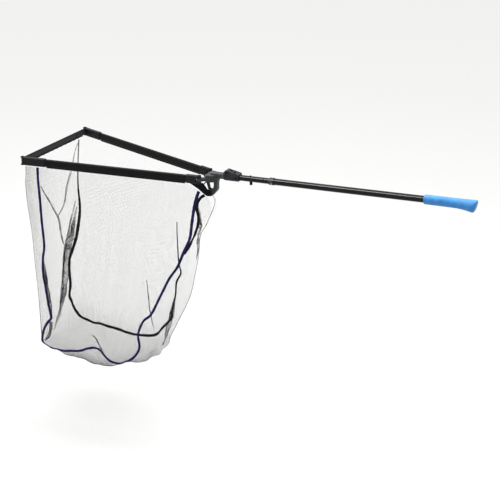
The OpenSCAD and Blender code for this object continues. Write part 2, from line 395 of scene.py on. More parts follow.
POLE_LACQUER = DrawnAluminium(
    # gloss black lacquer over a drawn tube: deep, with one sharp streak of light
    "gloss lacquered aluminium", "060708", "0d0e10", 0.15,
    specular=0.16, lift=math.radians(4.7),
)  # fmt: skip
NEAR_ANODISE = DrawnAluminium(
    # black anodising on an extrusion: satin, nearly no highlight
    "black anodised aluminium, near arm", "08090a", "121314", 0.4,
    specular=0.1, turn=SPLAY,
)  # fmt: skip
FAR_ANODISE = DrawnAluminium(
    # the same anodising, with its lines along the far arm
    "black anodised aluminium, far arm", "08090a", "121314", 0.4,
    specular=0.1, turn=-SPLAY,
)  # fmt: skip
# charcoal glass-filled nylon: dull on its sides, paler on top where it catches light
HUB_NYLON = MouldedNylon("charcoal glass-filled nylon", "1c1e1f", "2b2d2f", 0.34, specular=0.3)
# the same moulding in black: a soft grey bloom on a dark body
HOUSING_NYLON = MouldedNylon("black glass-filled nylon", "121416", "25282b", 0.34, specular=0.2)
# plain black nylon: even and nearly matt, so its edges are what is seen
CAP_NYLON = MouldedNylon("black nylon 6", "0d0e10", "191b1d", 0.4, specular=0.15)
# bare turned steel: small bright glints
STEEL = TurnedSteel("turned stainless steel", "c3c6ca", "9fa2a6", 0.28, metallic=1.0)
# steel blacked in a hot bath: dark, with a dull metal shine on its rounds
BLACKED_STEEL = TurnedSteel("blacked steel", "1c1d20", "0f1012", 0.35, metallic=1.0)
# a tumbled steel band: a broad, soft grey shine
BAND_STEEL = TurnedSteel("tumbled steel band", "70757a", "4a4e52", 0.4, metallic=1.0)
# blue EVA foam: bright, chalky, with the light soft across it
EVA_FOAM = CellFoam("blue EVA foam", "2668a4", "3c82c0", 0.55, specular=0.25, sheen=0.1)
# blue rubber: the foam's colour, a little smoother and fuller
PLUG_RUBBER = MouldedNylon("blue moulded rubber", "3272ac", "3f86c4", 0.55)
WEBBING = Woven(
    # polypropylene webbing: dark grey, with painted highlight greying the ribs and painted shade between them
    "dark grey polypropylene webbing", "212224", "3b3c3e", 0.78, specular=0.12, sheen=0.1,
)  # fmt: skip
NAVY_TAPE = Woven(
    # polyester binding tape, folded over the net's seam and sewn: flat deep blue
    "navy polyester tape", "100e30", "211e55", 0.75, specular=0.1, sheen=0.04, warp=0.9, weft=0.9,
)  # fmt: skip
BLACK_TAPE = Woven(
    # the same binding in black: a plain dark line with little light in it
    "black polyester tape", "070809", "141517", 0.75, specular=0.1, sheen=0.04, warp=0.9, weft=0.9,
)  # fmt: skip
BAND_TAPE = Woven(
    # a heavier weave with a blue cast where the light falls on it
    "blue-black polyester band", "06070c", "10111a", 0.75, specular=0.1, sheen=0.04, warp=1.2, weft=1.2,
)  # fmt: skip
# bonded sewing thread: a fine row of dots, a touch paler than the tape
THREAD = Woven("bonded nylon thread", "101114", "252629", 0.5, specular=0.15, warp=0.4, weft=0.5)
# thin netting: a grey veil when single, black where it lies doubled or bunched
NETTING = KnotlessNet("black knotless nylon netting", "09090b", "17171a", 0.6, specular=0.1)


# ---------------------------------------------------------------- meshes


def unit(rows: Points) -> Points:
    """Each direction made one long."""
    return rows / np.maximum(np.linalg.norm(rows, axis=-1, keepdims=True), 1e-9)


def run_length(line: Points) -> Points:
    """How far along a line each of its points lies."""
    return np.concatenate([[0], np.cumsum(np.linalg.norm(np.diff(line, axis=0), axis=1))])


def at_length(values: Points, length: Points, want: Points) -> Points:
    """A line's points, or the directions kept with them, at the lengths wanted."""
    return np.stack([np.interp(want, length, values[:, k]) for k in range(3)], 1)


def closed_uv(along: Points, round_: Points) -> Points:
    """A UV map of rows by columns from one length for each row and column."""
    return np.stack(np.meshgrid(along, round_, indexing="ij"), -1)


def wavy(count: int, *waves: tuple[float, float, float]) -> Points:
    """Widths that wander a little about 1 along a line.

    Args:
        count: how many points the line has.
        *waves: each wave's size, its turn from point to point and its start, in radians.

    Returns:
        One width for each point.
    """
    n = np.arange(count)
    return sum((size * np.sin(n * turn + start) for size, turn, start in waves), np.ones(count))


def dress(piece: Object, finish: Finish, body: str | None = None) -> Object:
    """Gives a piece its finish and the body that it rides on.

    Args:
        piece: the object.
        finish: its only material.
        body: the CAD body, or None to leave the piece where it is.

    Returns:
        The piece.
    """
    piece.data.materials.clear()
    piece.data.materials.append(finish.material())
    if body:
        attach(piece, body)
    return piece


def gathered(piece: Object, values: Points) -> None:
    """Writes how closely a piece's netting is gathered at each of its points."""
    layer = piece.data.attributes.new("gather", "FLOAT", "POINT")
    layer.data.foreach_set("value", values.astype(np.float32))


def placed(name: str, data: bpy.types.ID) -> Object:
    """A new object in the scene."""
    made = bpy.data.objects.new(name, data)
    bpy.context.scene.collection.objects.link(made)
    return made


def mesh_piece(name: str, points: list, faces: list, uv: Points | None = None) -> Object:
    """A smooth-shaded mesh object in the scene.

    Args:
        name: the object's name.
        points: its vertices, in metres.
        faces: the vertex numbers of each face.
        uv: a pair for each face's corner in turn, or None for a blank map.

    Returns:
        The new object.
    """
    data = bpy.data.meshes.new(name)
    data.from_pydata(points, [], faces)
    layer = data.uv_layers.new(name="cloth")
    if uv is not None:
        layer.data.foreach_set("uv", uv.astype(np.float32).ravel())
    data.validate()
    data.update()
    data.shade_smooth()
    return placed(name, data)


def grid(name: str, rows: Points, uv: Points, capped: bool = False) -> Object:
    """A mesh object from rows of points that close into rings.

    Args:
        name: the object's name.
        rows: an array of rows by columns by 3, in metres.
        uv: rows by columns by 2, with one more column where the rings close.
        capped: whether the first and last rows are filled.

    Returns:
        The new object.
    """
    count, width = rows.shape[:2]
    i, j = (side.ravel() for side in np.meshgrid(np.arange(count - 1), np.arange(width), indexing="ij"))
    k = (j + 1) % width
    quads = np.stack([i * width + j, i * width + k, (i + 1) * width + k, (i + 1) * width + j], 1)
    corners = np.stack([uv[i, j], uv[i, j + 1], uv[i + 1, j + 1], uv[i + 1, j]], 1).reshape(-1, 2)
    faces = quads.tolist()
    if capped:
        faces.append(list(range(width))[::-1])
        faces.append([(count - 1) * width + c for c in range(width)])
        corners = np.concatenate([corners, uv[0, :width][::-1], uv[-1, :width]])
    return mesh_piece(name, rows.reshape(-1, 3).tolist(), faces, corners)


def smooth_path(points: Points, step: float, cuts: int = 12) -> Points:
    """A rounded line through points, evenly spaced.

    Args:
        points: the line's corners.
        step: the spacing wanted, in the points' own unit.
        cuts: how finely each stretch is drawn before it is spaced.

    Returns:
        Points along a Catmull-Rom curve.
    """
    ends = np.concatenate([[2 * points[0] - points[1]], points, [2 * points[-1] - points[-2]]])
    t = np.linspace(0, 1, cuts + 1)[:-1, None]
    parts = []
    for a, b, c, d in zip(ends[:-3], ends[1:-2], ends[2:-1], ends[3:]):
        square, cube = 2 * a - 5 * b + 4 * c - d, 3 * b - a - 3 * c + d
        parts.append(0.5 * (2 * b + (c - a) * t + square * t**2 + cube * t**3))
    curve = np.concatenate([*parts, points[-1:]])
    length = run_length(curve)
    return at_length(curve, length, np.linspace(0, length[-1], max(3, int(length[-1] / step) + 1)))


def oval(width: float, height: float, count: int = 12, square: float = 0.6) -> Points:
    """A closed flat profile, between an ellipse (square 1) and a box (0).

    Args:
        width: across, in millimetres.
        height: thick, in millimetres.
        count: how many points.
        square: the power that flattens its sides.

    Returns:
        Points as (across, out) pairs, in metres.
    """
    angle = np.arange(count) / count * 2 * math.pi
    c, s = np.cos(angle), np.sin(angle)
    half = (width * MM / 2, height * MM / 2)
    return np.stack([np.sign(c) * abs(c) ** square * half[0], np.sign(s) * abs(s) ** square * half[1]], 1)


def sweep(name: str, path: Points, out: Points, profile: Points, scale: Points | None = None) -> Object:
    """A closed profile carried along a path.

    Args:
        name: the object's name.
        path: the points that it follows.
        out: the direction of the profile's second axis at each of them.
        profile: closed, in (across, out) pairs.
        scale: how wide the profile is at each point, as a share.

    Returns:
        The swept piece, capped at both ends.
    """
    ahead = unit(np.gradient(path, axis=0))
    out = unit(out - (out * ahead).sum(1)[:, None] * ahead)
    across = np.cross(ahead, out)
    wide = np.ones(len(path)) if scale is None else scale
    rows = path[:, None] + wide[:, None, None] * (
        profile[None, :, :1] * across[:, None] + profile[None, :, 1:] * out[:, None]
    )
    girth = run_length(np.vstack([profile, profile[:1]]))
    return grid(name, rows, closed_uv(run_length(path), girth), capped=True)


def joined(name: str, parts: list[Object]) -> Object:
    """Several mesh objects as one.

    Args:
        name: the new piece's name.
        parts: the objects, which are used up.

    Returns:
        One object with all their meshes.
    """
    with bpy.context.temp_override(
        active_object=parts[0], selected_editable_objects=parts, selected_objects=parts
    ):
        bpy.ops.object.join()
    parts[0].name = parts[0].data.name = name
    return parts[0]


STITCH_SIDES = 5
STITCH_RINGS = ((-0.36, 0.35), (-0.2, 1.0), (0.2, 1.0), (0.36, 0.35))  # shares of its pitch and width


def stitches(name: str, line: Points, out: Points, pitch: float, width: float) -> Object:
    """A run of lockstitches, each a small raised grain of thread.

    Args:
        name: the piece's name.
        line: the seam.
        out: the cloth's outward direction at each of its points.
        pitch: from one stitch to the next, in millimetres.
        width: the thread's width, in millimetres.

    Returns:
        One object that holds the whole run.
    """
    length, pitch = run_length(line), pitch * MM
    at = np.arange(pitch / 2, length[-1], pitch)
    places, normals = at_length(line, length, at), unit(at_length(out, length, at))
    heads = unit(at_length(line, length, at + pitch / 4) - places)
    turn = np.arange(STITCH_SIDES) / STITCH_SIDES * 2 * math.pi
    verts, faces = [], []
    for place, normal, ahead in zip(places, normals, heads):
        ring = np.outer(np.cos(turn), np.cross(ahead, normal)) + np.outer(np.sin(turn), normal)
        first = len(verts)
        for share, fat in STITCH_RINGS:
            verts += (place + ahead * share * pitch + ring * fat * width * MM / 2).tolist()
        last = len(verts) - STITCH_SIDES
        for start in range(first, last, STITCH_SIDES):
            for c in range(STITCH_SIDES):
                d = (c + 1) % STITCH_SIDES
                faces.append([start + k for k in (c, d, STITCH_SIDES + d, STITCH_SIDES + c)])
        faces.append(list(range(first, first + STITCH_SIDES))[::-1])
        faces.append(list(range(last, last + STITCH_SIDES)))
    return mesh_piece(name, verts, faces)


def soft_on_head(piece: Object, finish: Finish) -> Object:
    """Dresses cloth on the head, which flattens as the arms swing together.

    Args:
        piece: the cloth.
        finish: its material.

    Returns:
        The piece.
    """
    dress(piece, finish, "head")
    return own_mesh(piece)


# ---------------------------------------------------------------- the bag


@dataclass
class NetBag:
    """The net bag: one cloth of netting, hung from the arms and the strap.

    Every point is in millimetres from the hub, on the near half; the far half
    is its mirror. Rows run down the wall and then in under the floor. A gather
    is a pair of lists: shares of the way down the wall, and how many times
    closer than flat the threads stand there.
    """

    flat_size: tuple[float, float] = (1.66, 0.80)  # the largest girth, and from the rim to the floor's middle
    flat_area: float = 1.08  # the cloth tapers to the foot, so it is less than their product
    wall_rows: int = 128
    floor_rows: int = 26
    columns: tuple[int, int, int] = (34, 112, 16)  # half the front, a side, half the rear
    front_edge: tuple = (
        (-600, -166, -16), (-606, -164, -104), (-604, -152, -250), (-608, -144, -362),
        (-608, -136, -472), (-613, -127, -588), (-621, -119, -684))  # fmt: skip
    rear_edge: tuple = (
        (-15, -12, -58), (5, -21, -96), (-27, -27, -165), (-58, -31, -217), (-70, -37, -300),
        (-88, -43, -372), (-112, -51, -459), (-158, -63, -560), (-204, -76, -648))  # fmt: skip
    rim: tuple = ((-600, -166, -16), (-594, -168.5, -18), (-62, -43, -18), (-15, -12, -58))
    foot: tuple = (
        (-621, -119, -684), (-560, -120, -696), (-488, -119, -699), (-405, -114, -707),
        (-338, -108, -704), (-305, -101, -688), (-255, -90, -668), (-204, -76, -648))  # fmt: skip
    spine: tuple = (
        (-580, 0, -712), (-488, 0, -720), (-405, 0, -727), (-338, 0, -723), (-300, 0, -707),
        (-262, 0, -690))  # fmt: skip
    bow: float = 5.0  # how far the front's middle stands forward, and the rear's back
    held_share: float = 0.12  # the share of the wall, from the rim down, over which smoothing comes in
    smoothing: int = 9  # how many times the wall is evened out round the ring
    floor_round: tuple[float, float] = (0.7, 0.6)  # how sharply the floor turns in, and down
    waves: tuple = ((9, 3.2), (14, 2.6), (23, 1.8), (37, 1.0), (52, 0.7))  # folds round it, depth
    lean: float = 0.06  # how far a fold may wander round the bag on its way down
    uneven: tuple[float, float, float] = (0.45, 0.9, 3.0)  # how much they vary, and how often down and round
    folds_fade: tuple[float, float, float] = (0.1, 1.19, 0.12)  # in below the rim, and out by the floor
    near_gather: tuple = ((0, 0.3, 0.6, 0.9, 1.0, 1.2), (1.5, 1.4, 1.5, 2.1, 3.2, 4.2))
    far_gather: tuple = ((0, 0.12, 0.35, 0.6, 0.9, 1.0, 1.2), (0.2, 0.3, 0.8, 1.3, 1.9, 3.2, 4.2))
    corner_gather: tuple = ((0, 0.5, 0.8), (1.1, 0.8, 0.2))
    near_columns: tuple[float, int] = (0.8, 4)  # the slack side, from the front to just past the rear seam
    corner_columns: tuple[float, int, int] = (0.4, 10, 22)  # the corner's gather rises, holds and is gone
    lobes: tuple = (  # where the cloth bunches along the foot
        (-500, -112, -702), (-470, -110, -706), (-441, -108, -709), (-406, -106, -712),
        (-375, -103, -712), (-348, -100, -711), (-300, -84, -695), (-262, -74, -680),
        (-230, -64, -672), (-209, -45, -664))  # fmt: skip
    lobe_size: float = 22.0
    lobe_gather: float = 2.6

    @staticmethod
    def spread(points: tuple, count: int, rounded: bool = True) -> Points:
        """Points evenly along a line.

        Args:
            points: the line's corners.
            count: how many steps it is cut into.
            rounded: whether the corners are rounded off.

        Returns:
            count + 1 points.
        """
        line = np.asarray(points, float)
        if rounded:
            line = smooth_path(line, 1.0)
        length = run_length(line)
        return at_length(line, length, np.linspace(0, length[-1], count + 1))

    @staticmethod
    def patch(left: Points, right: Points, top: Points, bottom: Points) -> Points:
        """The surface that fills four edges.

        Args:
            left: the first column, from the top down.
            right: the last column.
            top: the first row, from left to right.
            bottom: the last row.

        Returns:
            Rows by columns of points.
        """
        t = np.linspace(0, 1, len(left))[:, None, None]
        s = np.linspace(0, 1, len(top))[None, :, None]
        ruled = (1 - s) * left[:, None] + s * right[:, None]
        drop = (1 - t) * top[None] + t * bottom[None]
        upper, lower = (1 - s) * top[0] + s * top[-1], (1 - s) * bottom[0] + s * bottom[-1]
        return ruled + drop - ((1 - t) * upper + t * lower)

    def half_wall(self) -> Points:
        """The near half of the wall, from the front's middle to the rear's."""
        rows, (n_front, n_side, n_rear) = self.wall_rows, self.columns
        front, rear = self.spread(self.front_edge, rows), self.spread(self.rear_edge, rows)
        swell = np.sin(np.linspace(0, math.pi, rows + 1))
        middle = front * [1, 0, 1] + np.outer(swell, [-self.bow, 0, 0])
        back = rear * [1, 0, 1] + [self.bow, 0, 0]
        face = self.patch(middle, front, *(np.linspace(middle[r], front[r], n_front + 1) for r in (0, -1)))
        rim, foot = self.spread(self.rim, n_side, rounded=False), self.spread(self.foot, n_side)
        side = self.patch(front, rear, rim, foot)
        tail = self.patch(rear, back, *(np.linspace(rear[r], back[r], n_rear + 1) for r in (0, -1)))
        return np.concatenate([face[:, :-1], side[:, :-1], tail], 1)

    def surface(self) -> Points:
        """The whole cloth in millimetres, rows by columns round the ring."""
        half = self.half_wall()
        wall = np.concatenate([half, (half * [1, -1, 1])[:, -2:0:-1]], 1)
        round_off = np.clip(np.linspace(0, 1, len(wall))[:, None, None] / self.held_share, 0, 1)
        for _ in range(self.smoothing):
            even = (np.roll(wall, 1, 1) + 2 * wall + np.roll(wall, -1, 1)) / 4
            wall = wall + round_off * (even - wall)
        line, edge = np.asarray(self.spine, float), wall[-1]
        x = np.clip(edge[:, 0], line[0, 0], line[-1, 0])
        middle = np.stack([x, np.zeros(len(x)), np.interp(x, line[:, 0], line[:, 2])], 1)
        turn = np.linspace(0, math.pi / 2, self.floor_rows + 1)[1:, None]
        inward, down = 1 - np.cos(turn) ** self.floor_round[0], np.sin(turn) ** self.floor_round[1]
        floor = edge[None] + (middle - edge)[None] * np.stack([inward, inward, down], -1)
        return self.folded(np.concatenate([wall, floor], 0))

    def folded(self, cloth: Points) -> Points:
        """Adds the soft folds that hang from the rim and slacken at the floor.

        Args:
            cloth: the smooth cloth.

        Returns:
            The cloth with its folds.
        """
        sideways = (np.roll(cloth, -1, 1) - np.roll(cloth, 1, 1)) / 2
        out = unit(np.cross(sideways, np.gradient(cloth, axis=0)))
        vary, down, round_ = self.uneven
        rows, cols = cloth.shape[:2]
        t = np.arange(rows)[:, None] / self.wall_rows
        u = np.arange(cols)[None, :] / cols
        random = np.random.default_rng(7)
        depth = np.zeros((rows, cols))
        for waves, size in self.waves:
            lean, phase, drift = random.uniform(-self.lean, self.lean), *random.uniform(0, 2 * math.pi, 2)
            fade = 1 - vary + vary * np.sin(2 * math.pi * (t * down + round_ * u) + drift)
            depth += size * fade * np.sin(2 * math.pi * waves * (u + lean * t) + phase)
        start, end, fall = self.folds_fade
        hang = np.clip(t / start, 0, 1) * np.clip((end - t) / fall, 0, 1)
        return cloth + out * (depth * hang)[:, :, None]

    def gather(self, places: Points, rows: int, cols: int) -> Points:
        """How closely the threads stand at each point of the cloth.

        Args:
            places: the cloth's points, in metres.
            rows: how many rows they stand in.
            cols: how many columns.

        Returns:
            One value for each point, row by row.
        """
        t, ring = np.arange(rows) / self.wall_rows, np.arange(cols)
        slack, taut, tight = (
            np.interp(t, *pair)[:, None] for pair in (self.near_gather, self.far_gather, self.corner_gather)
        )
        n_front, n_side, _ = self.columns
        first, past = self.near_columns
        near = ((ring > n_front * first) & (ring < n_front + n_side + past)).astype(float)
        rise, hold, gone = self.corner_columns
        corner = np.interp(ring, [n_front * rise, n_front, n_front + hold, n_front + gone], [0, 1, 1, 0])
        values = (taut + (slack - taut) * near + tight * corner).ravel()
        for spot in hub_points(self.lobes):
            off = np.linalg.norm(places - spot, axis=1) / (self.lobe_size * MM)
            values = values + self.lobe_gather * np.exp(-(off**2))
        return values

    def build(self) -> Object:
        """The cloth as an object, with its flat UV map and gather attribute."""
        cloth = self.surface()
        wrapped = np.concatenate([cloth, cloth[:, :1]], 1)
        steps = np.linalg.norm(np.diff(wrapped, axis=1), axis=2).max(0)
        drops = np.linalg.norm(np.diff(cloth, axis=0), axis=2).mean(1)
        down, round_ = (np.concatenate([[0], np.cumsum(parts)]) * MM for parts in (drops, steps))
        bag = grid("net_bag", hub_points(cloth), closed_uv(down, round_)[:, :, ::-1])
        places = np.array([v.co for v in bag.data.vertices])
        gathered(bag, self.gather(places, *cloth.shape[:2]))
        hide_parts("bag_front", "bag_near", "bag_far", "bag_rear", "bag_floor")
        return soft_on_head(bag, NETTING)


# ---------------------------------------------------------------- on the bag


@dataclass(frozen=True)
class Run:
    """A line of cloth on the bag: its points in millimetres and its widths."""

    points: tuple
    widths: tuple


NEAR_TAPE = Run(
    (
        (-556, -160, -19), (-558, -158, -67), (-558, -154, -128), (-560, -148, -212),
        (-560, -142, -304), (-569, -141, -347), (-574, -139, -412), (-570, -135, -458),
        (-567, -131, -508), (-562, -128, -558), (-559, -126, -580), (-577, -127, -602),
        (-599, -121, -640), (-611, -114, -679), (-606, -113, -697), (-576, -119, -700),
        (-549, -116, -703), (-484, -122, -688), (-451, -114, -682), (-424, -110, -667),
        (-392, -114, -653), (-370, -110, -658), (-351, -110, -678), (-334, -106, -692),
        (-309, -101, -695), (-290, -93, -692), (-262, -92, -674), (-240, -88, -650),
        (-229, -84, -622), (-230, -86, -595), (-233, -85, -574), (-224, -83, -542),
        (-209, -82, -513), (-192, -78, -499), (-180, -74, -479), (-163, -71, -440),
        (-145, -68, -400), (-121, -63, -347), (-99, -50, -308), (-80, -42, -254),
        (-62, -35, -207), (-50, -40, -144), (-38, -39, -69), (-32, -28, -42),
    ),
    (8.3, 8.3, 8.5, 8.3, 8.5, 9.4, 9.4, 8.5, 8.3, 8.5, 8.3, 8.5, 8.5, 9.0, 9.6, 10.1),
)  # fmt: skip
FAR_TAPE = Run(
    (
        (-600, 126, -17), (-604, 124, -60), (-605, 122, -103), (-605, 117, -184),
        (-604, 121, -249), (-605, 121, -288), (-606, 111, -330), (-607, 97, -375),
        (-608, 75, -413), (-611, 56, -452), (-611, 57, -504), (-611, 59, -548),
        (-612, 53, -590), (-608, 66, -622), (-612, 86, -657), (-610, 103, -686),
        (-590, 114, -702), (-548, 117, -711), (-457, 118, -708), (-411, 113, -709),
        (-367, 111, -704), (-287, 98, -678), (-244, 83, -630), (-202, 73, -579),
        (-194, 70, -541), (-183, 70, -493), (-181, 75, -438), (-157, 67, -392),
        (-167, 72, -367), (-174, 76, -315), (-177, 77, -262), (-176, 75, -214),
    ),
    (4.0, 4.0, 4.5, 5.9, 8.8, 13.0, 16.5, 15.3, 13.0, 11.8, 11.2, 10.6, 10.0, 10.0, 10.0, 9.4,
     9.4, 9.4, 10.0, 9.4, 10.0, 9.4, 9.4, 8.8, 8.3, 8.3, 7.7, 7.1, 5.9, 4.7, 3.5, 2.4),
)  # fmt: skip
REAR_TAPE = Run(
    ((-20, -17, -58), (-31, -31, -66), (-34, -37, -95), (-30, -33, -123), (-36, -29, -156),
     (-52, -27, -198), (-63, -33, -233), (-78, -42, -262)),
    (9.0, 9.0, 9.5, 9.0, 8.5, 8.5, 8.0, 7.0),
)  # fmt: skip
GATHERS = (
    Run(((-604, 105, -259), (-606, 86, -309), (-608, 74, -355), (-611, 53, -405),
         (-612, 40, -478), (-612, 30, -532), (-612, 17, -578), (-611, 1, -625),
         (-612, -26, -665), (-613, -43, -685)),
        (6.0, 20.0, 30.0, 36.0, 36.0, 34.0, 28.0, 20.0, 12.0, 5.0)),
    Run(((-569, -140, -362), (-566, -137, -400), (-567, -135, -450), (-563, -131, -499),
         (-560, -128, -554), (-559, -127, -577)), (5.0, 12.0, 16.0, 19.0, 19.0, 10.0)),
    Run(((-562, -126, -593), (-566, -125, -626), (-577, -123, -654), (-598, -117, -681)),
        (12.0, 13.0, 11.0, 6.0)),
    Run(((-186, 72, -495), (-191, 69, -533), (-202, 73, -575), (-222, 81, -631),
         (-232, 84, -666), (-231, 61, -682)), (8.0, 20.0, 18.0, 18.0, 12.0, 6.0)),
    Run(((-32, -35, -85), (-28, -33, -112), (-29, -29, -137), (-42, -12, -181),
         (-58, 12, -235), (-62, 18, -267), (-67, 14, -302)), (5.0, 12.0, 14.0, 10.0, 17.0, 12.0, 5.0)),
)  # fmt: skip
CREASES = (
    Run(((-604, 100, -235), (-606, 72, -290), (-608, 58, -340), (-611, 36, -405), (-612, 23, -478),
         (-612, 14, -532), (-612, 2, -578), (-611, -10, -625), (-612, -32, -665)),
        (4.0, 6.0, 7.5, 8.0, 7.0, 6.5, 6.0, 5.0, 3.0)),
    Run(((-607, -84, -119), (-605, -48, -182), (-605, -9, -248), (-615, 19, -309),
         (-617, 36, -380)), (3.0, 5.5, 6.5, 8.0, 4.0)),
    Run(((-600, 122, -26), (-604, 107, -55), (-605, 96, -88), (-607, 80, -127),
         (-610, 57, -179), (-611, 38, -236), (-605, -4, -257)), (3.0, 4.5, 5.0, 7.5, 7.0, 5.5, 3.5)),
    Run(((-317, 102, -472), (-314, 102, -509), (-307, 99, -564), (-300, 101, -614),
         (-287, 100, -657)), (1.8, 3.6, 4.2, 3.8, 1.8)),
    Run(((-398, -114, -608), (-383, -113, -618), (-373, -112, -641), (-362, -110, -657)),
        (3.0, 4.8, 4.8, 3.0)),
    Run(((-602, -165, -22), (-608, -160, -100), (-605, -150, -247), (-608, -139, -361),
         (-608, -131, -471), (-609, -121, -591), (-611, -113, -670)), (2.2, 2.2, 2.0, 2.0, 2.2, 2.4, 2.4)),
    Run(((-610, -110, -698), (-553, -116, -705), (-481, -114, -712), (-394, -113, -717),
         (-338, -101, -714), (-252, -83, -683), (-216, -53, -679), (-201, 4, -677)),
        (3.0, 3.0, 3.4, 3.6, 3.6, 3.2, 2.8, 2.4)),
    Run(((-12, 14, -66), (-12, 22, -105), (-38, 27, -170), (-58, 30, -217), (-74, 38, -310),
         (-102, 49, -426), (-154, 54, -553), (-197, 61, -640), (-203, 60, -669)),
        (2.0, 2.4, 2.4, 2.2, 2.2, 2.4, 2.4, 2.4, 2.4)),
)  # fmt: skip


@dataclass
class BagTrim:
    """The tapes sewn over the bag's seams, and the netting bunched beside them."""

    bag: Object
    tape_thick: float = 3.4
    tape_seams: tuple[float, float] = (-0.3, 0.3)  # where its rows of stitches lie, as shares of its width
    seam_lift: float = 0.44  # how high they lie, as a share of its thickness
    stitch: float = 4.2
    thread: float = 0.9  # a real thread is 0.4 mm; drawn coarser so that it shows
    evening: int = 3  # how many times a line laid on the folds is evened out

    def __post_init__(self) -> None:
        """Keeps a search tree of the bag's surface."""
        data, world = self.bag.data, self.bag.matrix_world
        self.tree = BVHTree.FromPolygons(
            [world @ v.co for v in data.vertices], [tuple(f.vertices) for f in data.polygons]
        )

    def laid(self, run: Run, step: float = 5.0) -> tuple[Points, Points, Points]:
        """A run's line laid on the cloth.

        Args:
            run: the line and its widths.
            step: the spacing along it, in millimetres.

        Returns:
            Its points and outward directions, in metres, and its widths in millimetres.
        """
        line = hub_points(smooth_path(np.asarray(run.points, float), step))
        found = [self.tree.find_nearest(Vector(p))[:2] for p in line]
        place, out = (np.array(part) for part in zip(*found))
        for _ in range(self.evening):
            for part in (place, out):
                part[1:-1] = (part[:-2] + 2 * part[1:-1] + part[2:]) / 4
        share = np.linspace(0, 1, len(place))
        return place, out, np.interp(share, np.linspace(0, 1, len(run.widths)), run.widths)

    def tape(self, name: str, run: Run, finish: Finish) -> list[Object]:
        """One tape with its two rows of stitches.

        Args:
            name: the piece's name.
            run: its line.
            finish: its cloth.

        Returns:
            The tape and its stitching.
        """
        place, out, widths = self.laid(run)
        profile = oval(1.0, 1.0, 14) * [1.0, self.tape_thick / widths.mean()]
        ripple = wavy(len(place), (0.07, 1.9, 0.0), (0.05, 0.7, 0.0))
        made = sweep(name, place, out, profile, widths * ripple)
        soft_on_head(made, finish)
        across = np.cross(unit(np.gradient(place, axis=0)), out)
        rows = []
        for side in self.tape_seams:
            lift = out * self.tape_thick * self.seam_lift * MM
            line = place + across * side * widths[:, None] * MM + lift
            rows.append(stitches(f"{name}_row", line, out, self.stitch, self.thread))
        return [made, soft_on_head(joined(f"{name}_stitching", rows), THREAD)]

    def bunched(self, name: str, runs: tuple, gather: float, height: float) -> Object:
        """Netting pinched into ridges, as one piece.

        Args:
            name: the piece's name.
            runs: the ridges.
            gather: how many times closer than flat its threads stand.
            height: how far a ridge stands out, as a share of its width.

        Returns:
            The piece.
        """
        parts = []
        for run in runs:
            place, out, widths = self.laid(run, 4.0)
            ragged = wavy(len(place), (0.12, 0.5, 0.0), (0.06, 1.1, 1.0))
            profile = oval(1.0, height, 12, square=0.85)
            parts.append(sweep(f"{name}_part", place, out, profile, widths * ragged))
        made = joined(name, parts)
        gathered(made, np.full(len(made.data.vertices), gather))
        return soft_on_head(made, NETTING)

    def build(self) -> list[Object]:
        """Every tape, gather and crease on the bag."""
        made = self.tape("near_seam_tape", NEAR_TAPE, NAVY_TAPE)
        made += self.tape("far_seam_tape", FAR_TAPE, BLACK_TAPE)
        made += self.tape("rear_seam_tape", REAR_TAPE, BLACK_TAPE)
        made.append(self.bunched("net_gathers", GATHERS, gather=9.5, height=0.26))
        made.append(self.bunched("net_creases", CREASES, gather=9.0, height=0.8))
        return made


# ---------------------------------------------------------------- the mouth


